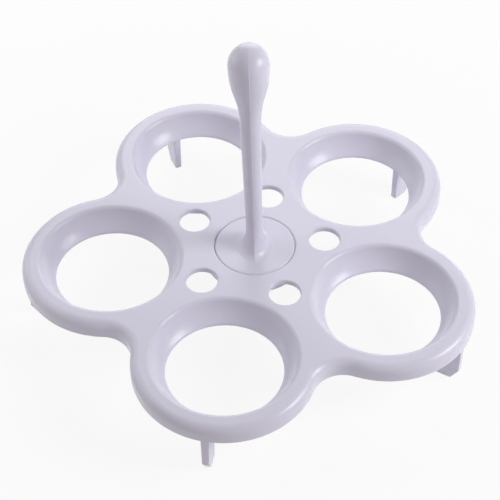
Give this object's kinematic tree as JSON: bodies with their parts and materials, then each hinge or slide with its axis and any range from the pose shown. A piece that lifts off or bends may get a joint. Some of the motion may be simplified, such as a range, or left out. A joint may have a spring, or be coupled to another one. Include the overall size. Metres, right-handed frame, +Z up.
{
  "type": "egg steamer rack",
  "caption": "Lobed moulded rack with an open egg cup in each lobe, steam holes, short fin legs and an upright ball-topped handle, for steaming eggs in a pan.",
  "frame": {"origin": "middle of the rack's footprint box, on the floor under the legs", "axes": "+Z up along the handle, -Y towards the front cup, +X to the right; the handle's axis stands 3.75 mm behind the origin"},
  "size_m": [0.123, 0.1194, 0.0879],
  "materials": {
    "rack_plastic": "white moulded polypropylene with a soft gloss and a cool tint",
    "handle_plastic": "white moulded polypropylene with a soft gloss and a cool tint"
  },
  "bodies": {
    "rack": {"rack_plate": "rack_plastic"},
    "handle": {"handle": "handle_plastic"}
  },
  "joints": [
    {"name": "handle_push_out", "type": "slide", "parent": "rack", "child": "handle", "axis": [0, 0, 1], "range_m": [-0.015, 0]}
  ]
}
